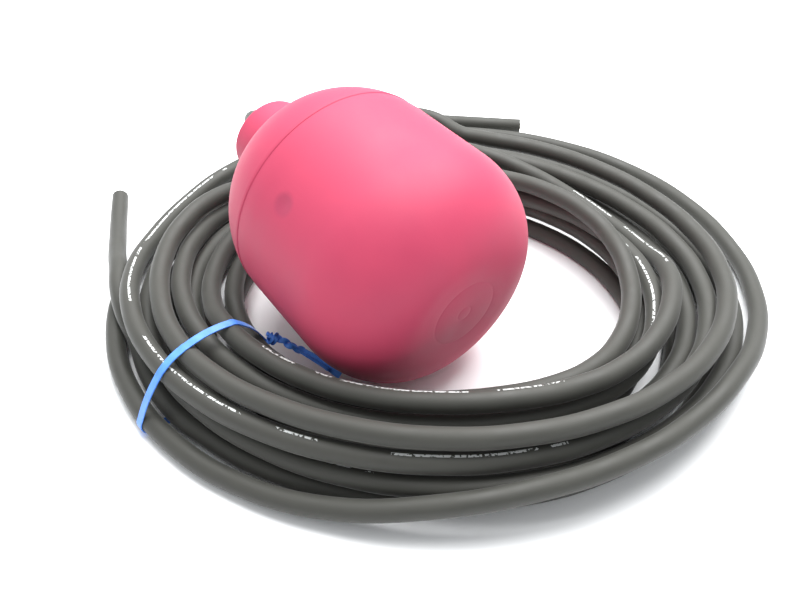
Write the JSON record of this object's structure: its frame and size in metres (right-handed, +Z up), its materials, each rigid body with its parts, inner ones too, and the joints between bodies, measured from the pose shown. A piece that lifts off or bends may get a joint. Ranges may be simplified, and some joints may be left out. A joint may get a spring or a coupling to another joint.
{
  "type": "float switch",
  "caption": "Tilt-operated float switch for a pump: a blunt pink moulded float with a neck, on a tied coil of round grey cable.",
  "frame": {"origin": "on the floor, at the centre of the box of the float with its capsule, switch and the pieces inside it (the cord nodes are left out)", "axes": "+Z up; +X from the neck of the float to its blunt face; +Y across the float"},
  "size_m": [0.3294, 0.3208, 0.1136],
  "materials": {
    "float_plastic": "satin moulded plastic",
    "cable_rubber": "smooth matt sheath",
    "cable_end_rubber": "smooth matt sheath, paler",
    "tie_plastic": "thin glossy strip",
    "grommet_rubber": "moulded rubber",
    "potting_resin": "cast resin",
    "crimp_steel": "plain",
    "core_black": "extruded insulation",
    "core_white": "extruded insulation",
    "solder": "solidified solder",
    "capsule_plastic": "moulded plastic",
    "seal_rubber": "moulded rubber",
    "screw_steel": "plated",
    "ball_steel": "ground and polished",
    "lever_steel": "rolled sheet",
    "case_plastic": "moulded plastic",
    "cover_plastic": "moulded plastic",
    "plunger_plastic": "moulded plastic",
    "contact_brass": "stamped"
  },
  "bodies": {
    "switch": {"neck_grommet": "grommet_rubber", "potting_plug": "potting_resin", "cable_crimp": "crimp_steel", "float_body": "float_plastic", "float_cap": "float_plastic", "cable_entry": "cable_rubber", "wire_black": "core_black", "wire_white": "core_white", "solder_joints": "solder", "capsule_body": "capsule_plastic", "capsule_cap": "capsule_plastic", "capsule_seal": "seal_rubber", "capsule_screws": "screw_steel", "lever_pin": "screw_steel", "switch_case": "case_plastic", "switch_cover": "cover_plastic", "common_terminal": "contact_brass", "open_terminal": "contact_brass", "closed_terminal": "contact_brass", "switch_bracket": "lever_steel", "switch_screws": "screw_steel", "cable_lead": "cable_rubber", "cable_coil": "cable_rubber", "cable_tail": "cable_rubber", "tail_end": "cable_end_rubber", "spare_cable": "cable_end_rubber", "tie_band": "tie_plastic", "tie_twist": "tie_plastic"},
    "ball_body": {"ball": "ball_steel"},
    "lever_body": {"lever": "lever_steel"},
    "plunger_body": {"plunger": "plunger_plastic"},
    "arm_body": {"contact_arm": "contact_brass"}
  },
  "joints": [
    {"name": "ball_slide", "type": "slide", "parent": "switch", "child": "ball_body", "axis": [-0.9903, 0, 0.1392], "range_m": [0, 0.00494]},
    {"name": "lever_hinge", "type": "hinge", "parent": "switch", "child": "lever_body", "pos_m": [0.04235, -0.014, 0.05316], "axis": [0.1392, 0, 0.9903], "range_deg": [0, 20.1]},
    {"name": "plunger_slide", "type": "slide", "parent": "switch", "child": "plunger_body", "axis": [-0.9903, 0, 0.1392], "range_m": [0, 0.00195]},
    {"name": "arm_hinge", "type": "hinge", "parent": "switch", "child": "arm_body", "pos_m": [0.03203, 0.009, 0.05461], "axis": [0.1392, 0, 0.9903], "range_deg": [-6.35, 0]}
  ],
  "couplings": [
    {"joint": "lever_hinge", "follows": "ball_slide", "rad_per_m": 70.7},
    {"joint": "plunger_slide", "follows": "ball_slide", "ratio": 0.3928},
    {"joint": "arm_hinge", "follows": "ball_slide", "rad_per_m": -22.35}
  ]
}
